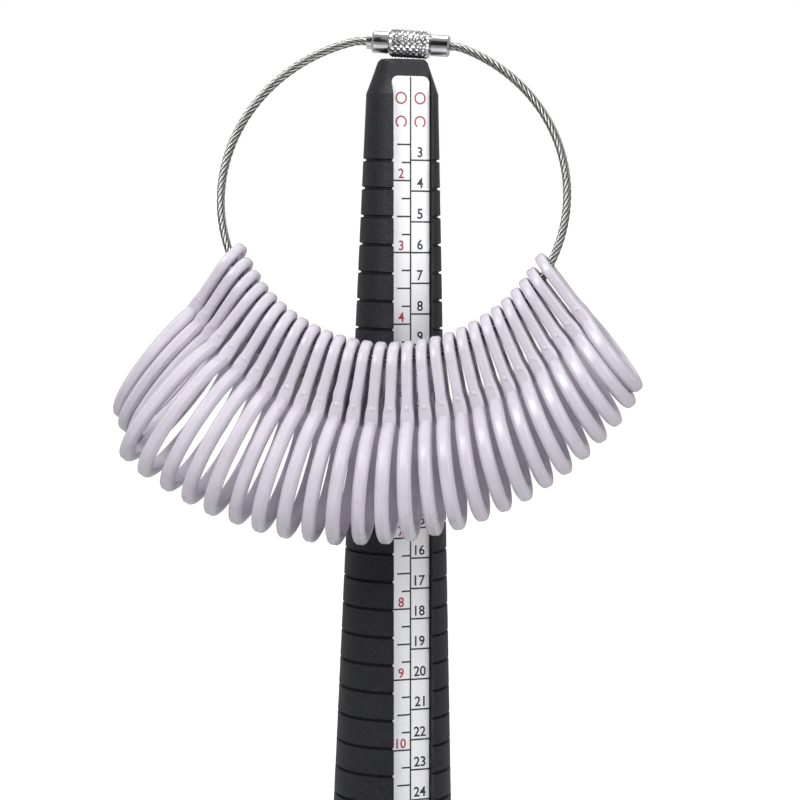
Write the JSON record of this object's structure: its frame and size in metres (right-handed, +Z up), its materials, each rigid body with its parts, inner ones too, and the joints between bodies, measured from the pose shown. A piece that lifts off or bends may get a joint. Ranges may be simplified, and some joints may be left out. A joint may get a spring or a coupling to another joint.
{
  "type": "ring sizing mandrel with finger gauges",
  "caption": "Tapered ring-sizing mandrel with scale strips, a fluted handle and a flat foot, and a wire-rope loop of finger gauges that rests on its tip.",
  "frame": {"origin": "centre of the flat foot that the mandrel stands on", "axes": "+Z up the mandrel towards its tip, -Y to the front, where the gauges hang, +X to the viewer's right"},
  "size_m": [0.0886, 0.051, 0.2607],
  "materials": {
    "stick_plastic": "fine grained, satin black",
    "handle_plastic": "fine grained, satin black",
    "cap_plastic": "satin black",
    "scale_label": "satin silver-white foil with printed scales",
    "wire_rope": "bright twisted stainless strands",
    "ferrule_metal": "polished",
    "sleeve_metal": "diamond knurled and polished",
    "gauge_plastic": "slightly translucent, satin lilac-white"
  },
  "bodies": {
    "mandrel": {"taper_stick": "stick_plastic", "front_strip": "scale_label", "back_strip": "scale_label", "handle": "handle_plastic", "end_cap": "cap_plastic"},
    "loop": {"cable": "wire_rope", "stud_ferrule": "ferrule_metal", "swivel_ferrule": "ferrule_metal"},
    "screw_sleeve": {"screw_sleeve": "sleeve_metal"},
    "gauge_00_0": {"gauge_00_0": "gauge_plastic"},
    "gauge_00_5": {"gauge_00_5": "gauge_plastic"},
    "gauge_01_0": {"gauge_01_0": "gauge_plastic"},
    "gauge_01_5": {"gauge_01_5": "gauge_plastic"},
    "gauge_02_0": {"gauge_02_0": "gauge_plastic"},
    "gauge_02_5": {"gauge_02_5": "gauge_plastic"},
    "gauge_03_0": {"gauge_03_0": "gauge_plastic"},
    "gauge_03_5": {"gauge_03_5": "gauge_plastic"},
    "gauge_04_0": {"gauge_04_0": "gauge_plastic"},
    "gauge_04_5": {"gauge_04_5": "gauge_plastic"},
    "gauge_05_0": {"gauge_05_0": "gauge_plastic"},
    "gauge_05_5": {"gauge_05_5": "gauge_plastic"},
    "gauge_06_0": {"gauge_06_0": "gauge_plastic"},
    "gauge_06_5": {"gauge_06_5": "gauge_plastic"},
    "gauge_07_0": {"gauge_07_0": "gauge_plastic"},
    "gauge_07_5": {"gauge_07_5": "gauge_plastic"},
    "gauge_08_0": {"gauge_08_0": "gauge_plastic"},
    "gauge_08_5": {"gauge_08_5": "gauge_plastic"},
    "gauge_09_0": {"gauge_09_0": "gauge_plastic"},
    "gauge_09_5": {"gauge_09_5": "gauge_plastic"},
    "gauge_10_0": {"gauge_10_0": "gauge_plastic"},
    "gauge_10_5": {"gauge_10_5": "gauge_plastic"},
    "gauge_11_0": {"gauge_11_0": "gauge_plastic"},
    "gauge_11_5": {"gauge_11_5": "gauge_plastic"},
    "gauge_12_0": {"gauge_12_0": "gauge_plastic"},
    "gauge_12_5": {"gauge_12_5": "gauge_plastic"},
    "gauge_13_0": {"gauge_13_0": "gauge_plastic"},
    "gauge_13_5": {"gauge_13_5": "gauge_plastic"}
  },
  "joints": [
    {"name": "loop_lift", "type": "slide", "parent": "mandrel", "child": "loop", "axis": [0, 0, 1], "range_m": [0, 0.1]},
    {"name": "sleeve_turn", "type": "hinge", "parent": "loop", "child": "screw_sleeve", "pos_m": [0.0009, -0.00006, 0.25816], "axis": [0.9954, -0.0816, -0.05], "continuous": true},
    {"name": "swing_00_0", "type": "hinge", "parent": "loop", "child": "gauge_00_0", "pos_m": [0.0244, -0.01691, 0.22099], "axis": [0.7828, -0.1003, 0.6141], "range_deg": [-37, 30]},
    {"name": "swing_00_5", "type": "hinge", "parent": "loop", "child": "gauge_00_5", "pos_m": [0.02298, -0.01778, 0.21871], "axis": [0.7828, -0.1003, 0.6141], "range_deg": [-41, 30]},
    {"name": "swing_01_0", "type": "hinge", "parent": "loop", "child": "gauge_01_0", "pos_m": [0.02165, -0.01843, 0.21693], "axis": [0.8168, -0.1024, 0.5678], "range_deg": [-42, 30]},
    {"name": "swing_01_5", "type": "hinge", "parent": "loop", "child": "gauge_01_5", "pos_m": [0.02015, -0.01904, 0.21524], "axis": [0.848, -0.1043, 0.5196], "range_deg": [-46, 30]},
    {"name": "swing_02_0", "type": "hinge", "parent": "loop", "child": "gauge_02_0", "pos_m": [0.01852, -0.0196, 0.21366], "axis": [0.8765, -0.106, 0.4696], "range_deg": [-47, 30]},
    {"name": "swing_02_5", "type": "hinge", "parent": "loop", "child": "gauge_02_5", "pos_m": [0.01674, -0.02009, 0.21221], "axis": [0.902, -0.1076, 0.4181], "range_deg": [-49, 30]},
    {"name": "swing_03_0", "type": "hinge", "parent": "loop", "child": "gauge_03_0", "pos_m": [0.01485, -0.02053, 0.21088], "axis": [0.9245, -0.109, 0.3652], "range_deg": [-52, 30]},
    {"name": "swing_03_5", "type": "hinge", "parent": "loop", "child": "gauge_03_5", "pos_m": [0.01285, -0.0209, 0.2097], "axis": [0.944, -0.1102, 0.3111], "range_deg": [-52, 30]},
    {"name": "swing_04_0", "type": "hinge", "parent": "loop", "child": "gauge_04_0", "pos_m": [0.01074, -0.02119, 0.20867], "axis": [0.9603, -0.1112, 0.2559], "range_deg": [-54, 30]},
    {"name": "swing_04_5", "type": "hinge", "parent": "loop", "child": "gauge_04_5", "pos_m": [0.00856, -0.02142, 0.2078], "axis": [0.9734, -0.112, 0.1999], "range_deg": [-55, 30]},
    {"name": "swing_05_0", "type": "hinge", "parent": "loop", "child": "gauge_05_0", "pos_m": [0.00631, -0.02158, 0.20709], "axis": [0.9833, -0.1126, 0.1433], "range_deg": [-56, 28]},
    {"name": "swing_05_5", "type": "hinge", "parent": "loop", "child": "gauge_05_5", "pos_m": [0.00401, -0.02166, 0.20656], "axis": [0.9899, -0.113, 0.0862], "range_deg": [-57, 12]},
    {"name": "swing_06_0", "type": "hinge", "parent": "loop", "child": "gauge_06_0", "pos_m": [0.00166, -0.02166, 0.2062], "axis": [0.9932, -0.1132, 0.0288], "range_deg": [-57, 8]},
    {"name": "swing_06_5", "type": "hinge", "parent": "loop", "child": "gauge_06_5", "pos_m": [-0.00071, -0.02159, 0.20602], "axis": [0.9929, -0.1158, -0.0287], "range_deg": [-57, 5]},
    {"name": "swing_07_0", "type": "hinge", "parent": "loop", "child": "gauge_07_0", "pos_m": [-0.00308, -0.02145, 0.20602], "axis": [0.9889, -0.1208, -0.0861], "range_deg": [-57, 5]},
    {"name": "swing_07_5", "type": "hinge", "parent": "loop", "child": "gauge_07_5", "pos_m": [-0.00545, -0.02123, 0.2062], "axis": [0.9817, -0.1256, -0.1432], "range_deg": [-57, 11]},
    {"name": "swing_08_0", "type": "hinge", "parent": "loop", "child": "gauge_08_0", "pos_m": [-0.0078, -0.02094, 0.20656], "axis": [0.9712, -0.1302, -0.1997], "range_deg": [-57, 18]},
    {"name": "swing_08_5", "type": "hinge", "parent": "loop", "child": "gauge_08_5", "pos_m": [-0.01011, -0.02057, 0.2071], "axis": [0.9574, -0.1345, -0.2556], "range_deg": [-57, 30]},
    {"name": "swing_09_0", "type": "hinge", "parent": "loop", "child": "gauge_09_0", "pos_m": [-0.01236, -0.02013, 0.20783], "axis": [0.9404, -0.1387, -0.3105], "range_deg": [-57, 30]},
    {"name": "swing_09_5", "type": "hinge", "parent": "loop", "child": "gauge_09_5", "pos_m": [-0.01455, -0.01963, 0.20872], "axis": [0.9203, -0.1427, -0.3643], "range_deg": [-57, 30]},
    {"name": "swing_10_0", "type": "hinge", "parent": "loop", "child": "gauge_10_0", "pos_m": [-0.01665, -0.01905, 0.20979], "axis": [0.8971, -0.1465, -0.4169], "range_deg": [-55, 30]},
    {"name": "swing_10_5", "type": "hinge", "parent": "loop", "child": "gauge_10_5", "pos_m": [-0.01864, -0.01842, 0.21103], "axis": [0.8709, -0.1502, -0.468], "range_deg": [-54, 30]},
    {"name": "swing_11_0", "type": "hinge", "parent": "loop", "child": "gauge_11_0", "pos_m": [-0.02052, -0.01773, 0.21242], "axis": [0.8418, -0.1536, -0.5176], "range_deg": [-52, 30]},
    {"name": "swing_11_5", "type": "hinge", "parent": "loop", "child": "gauge_11_5", "pos_m": [-0.02226, -0.01698, 0.21396], "axis": [0.8098, -0.1569, -0.5653], "range_deg": [-52, 30]},
    {"name": "swing_12_0", "type": "hinge", "parent": "loop", "child": "gauge_12_0", "pos_m": [-0.02386, -0.01619, 0.21564], "axis": [0.7752, -0.16, -0.6111], "range_deg": [-53, 30]},
    {"name": "swing_12_5", "type": "hinge", "parent": "loop", "child": "gauge_12_5", "pos_m": [-0.02534, -0.01533, 0.21749], "axis": [0.7752, -0.16, -0.6111], "range_deg": [-60, 20]},
    {"name": "swing_13_0", "type": "hinge", "parent": "loop", "child": "gauge_13_0", "pos_m": [-0.02666, -0.0144, 0.21953], "axis": [0.7752, -0.16, -0.6111], "range_deg": [-60, 20]},
    {"name": "swing_13_5", "type": "hinge", "parent": "loop", "child": "gauge_13_5", "pos_m": [-0.02783, -0.01341, 0.22176], "axis": [0.7752, -0.16, -0.6111], "range_deg": [-60, 20]}
  ]
}
